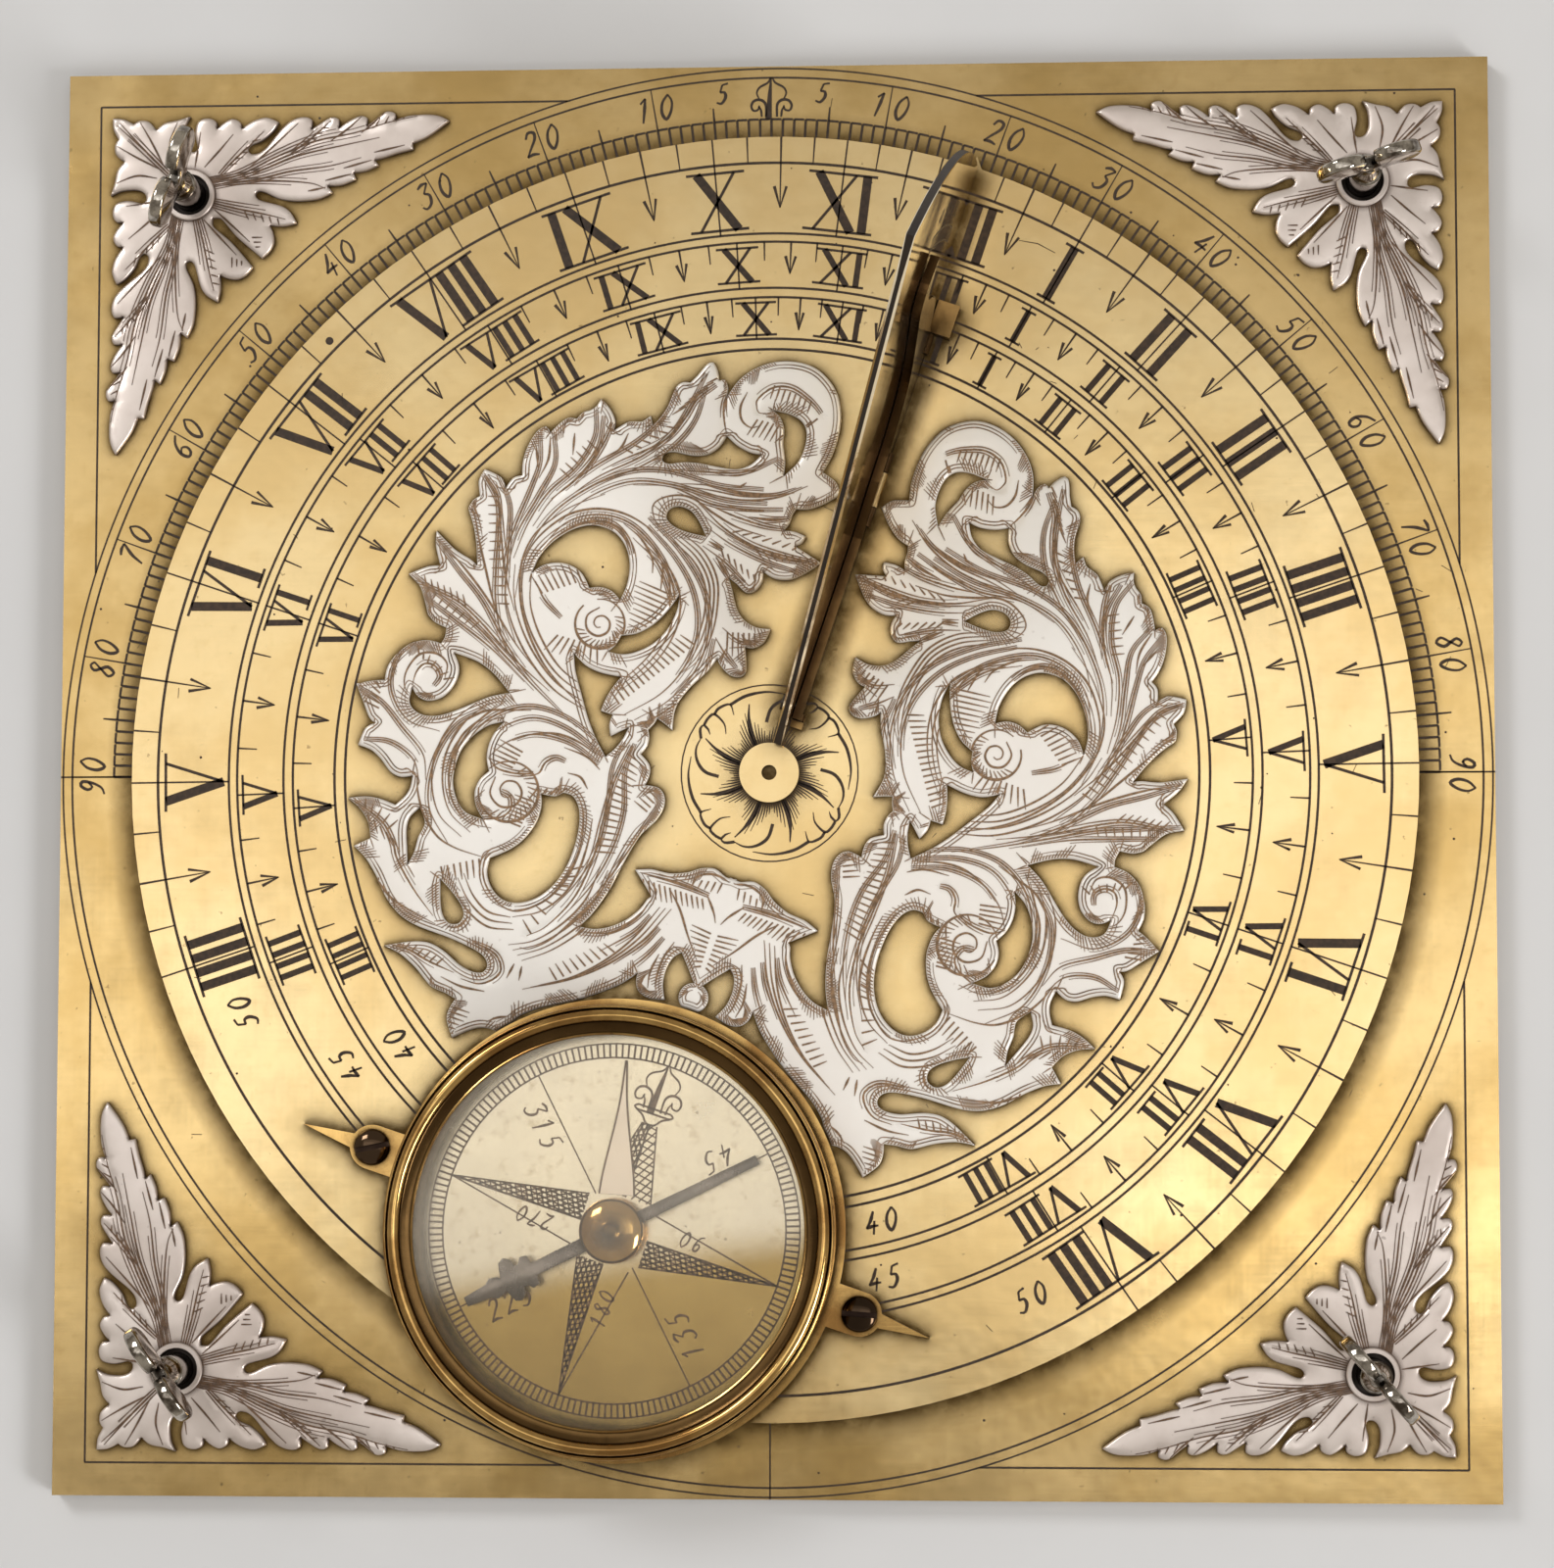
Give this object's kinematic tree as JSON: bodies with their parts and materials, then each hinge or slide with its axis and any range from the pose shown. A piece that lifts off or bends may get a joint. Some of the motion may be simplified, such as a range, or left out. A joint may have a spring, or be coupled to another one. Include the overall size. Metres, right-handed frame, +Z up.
{
  "type": "sundial",
  "caption": "Horizontal sundial on a square plate, with a turning hour plate, silver scrollwork, a folding gnomon set by latitude, a compass and levelling screws.",
  "frame": {"origin": "middle of the base plate's underside", "axes": "+Z up, +Y towards the 0 of the declination scale, which is the edge that goes to the wall"},
  "size_m": [0.162, 0.162, 0.051],
  "materials": {
    "base_brass": "aged gilt brass, satin, with darker patina towards the edges",
    "dial_brass": "aged gilt brass, satin, engraved lines filled with dark wax",
    "silver": "matt silver, engraved, dark in the cuts",
    "hinge_brass": "darkened brass",
    "gnomon_brass": "polished brass with brown patina",
    "compass_brass": "polished brass, brown in the grooves",
    "silvered_card": "gilt card, engraved",
    "steel": "aged steel, half bright",
    "dark_steel": "browned steel",
    "blued_steel": "blued steel, dulled",
    "glass": "old flat glass, slightly milky"
  },
  "bodies": {
    "base": {"base_plate": "base_brass", "pivot_stud": "dial_brass", "corner_ornament_nw": "silver", "corner_ornament_ne": "silver", "corner_ornament_se": "silver", "corner_ornament_sw": "silver", "corner_pins": "silver", "screw_bushes": "silver"},
    "hour_dial": {"hour_plate": "dial_brass", "scroll_ornament": "silver", "scroll_pins": "silver", "front_hinge_block": "hinge_brass", "middle_hinge_tube": "hinge_brass", "rear_hinge_block": "hinge_brass", "fold_pins": "steel", "compass_foot": "compass_brass", "compass_wall": "compass_brass", "compass_card": "silvered_card", "compass_point": "steel", "compass_glass": "glass", "compass_bezel": "compass_brass", "compass_screws": "dark_steel"},
    "needle": {"compass_needle": "blued_steel", "needle_cap": "compass_brass"},
    "carrier": {"gnomon_carrier": "hinge_brass", "latitude_pin": "steel"},
    "gnomon": {"gnomon": "gnomon_brass"},
    "shank_nw": {"screw_shank_nw": "steel"},
    "wings_nw": {"wing_nw": "steel"},
    "shank_ne": {"screw_shank_ne": "steel"},
    "wings_ne": {"wing_ne": "steel"},
    "shank_se": {"screw_shank_se": "steel"},
    "wings_se": {"wing_se": "steel"},
    "shank_sw": {"screw_shank_sw": "steel"},
    "wings_sw": {"wing_sw": "steel"}
  },
  "joints": [
    {"name": "dial_turn", "type": "hinge", "parent": "base", "child": "hour_dial", "pos_m": [0, 0, 0.00415], "axis": [0, 0, 1], "continuous": true},
    {"name": "gnomon_fold", "type": "hinge", "parent": "hour_dial", "child": "carrier", "pos_m": [0.00123, -0.00041, 0.00645], "axis": [0.319, 0.9478, 0], "range_deg": [0, 90]},
    {"name": "latitude_set", "type": "hinge", "parent": "carrier", "child": "gnomon", "pos_m": [0.00255, 0.00758, 0.00665], "axis": [0.9478, -0.319, 0], "range_deg": [0, 12]},
    {"name": "needle_swing", "type": "hinge", "parent": "hour_dial", "child": "needle", "pos_m": [-0.01719, -0.05108, 0.00915], "axis": [0, 0, 1], "continuous": true},
    {"name": "screw_lift_nw", "type": "slide", "parent": "base", "child": "shank_nw", "axis": [0, 0, 1], "range_m": [-0.0045, 0]},
    {"name": "wing_turn_nw", "type": "hinge", "parent": "shank_nw", "child": "wings_nw", "pos_m": [-0.0668, 0.0668, 0.009], "axis": [0, 0, 1], "range_deg": [-2160, 0]},
    {"name": "screw_lift_ne", "type": "slide", "parent": "base", "child": "shank_ne", "axis": [0, 0, 1], "range_m": [-0.0045, 0]},
    {"name": "wing_turn_ne", "type": "hinge", "parent": "shank_ne", "child": "wings_ne", "pos_m": [0.0668, 0.0668, 0.009], "axis": [0, 0, 1], "range_deg": [-2160, 0]},
    {"name": "screw_lift_se", "type": "slide", "parent": "base", "child": "shank_se", "axis": [0, 0, 1], "range_m": [-0.0045, 0]},
    {"name": "wing_turn_se", "type": "hinge", "parent": "shank_se", "child": "wings_se", "pos_m": [0.0668, -0.0668, 0.009], "axis": [0, 0, 1], "range_deg": [-2160, 0]},
    {"name": "screw_lift_sw", "type": "slide", "parent": "base", "child": "shank_sw", "axis": [0, 0, 1], "range_m": [-0.0045, 0]},
    {"name": "wing_turn_sw", "type": "hinge", "parent": "shank_sw", "child": "wings_sw", "pos_m": [-0.0668, -0.0668, 0.009], "axis": [0, 0, 1], "range_deg": [-2160, 0]}
  ],
  "couplings": [
    {"joint": "wing_turn_nw", "follows": "screw_lift_nw", "rad_per_m": 8377.6},
    {"joint": "wing_turn_ne", "follows": "screw_lift_ne", "rad_per_m": 8377.6},
    {"joint": "wing_turn_se", "follows": "screw_lift_se", "rad_per_m": 8377.6},
    {"joint": "wing_turn_sw", "follows": "screw_lift_sw", "rad_per_m": 8377.6}
  ]
}
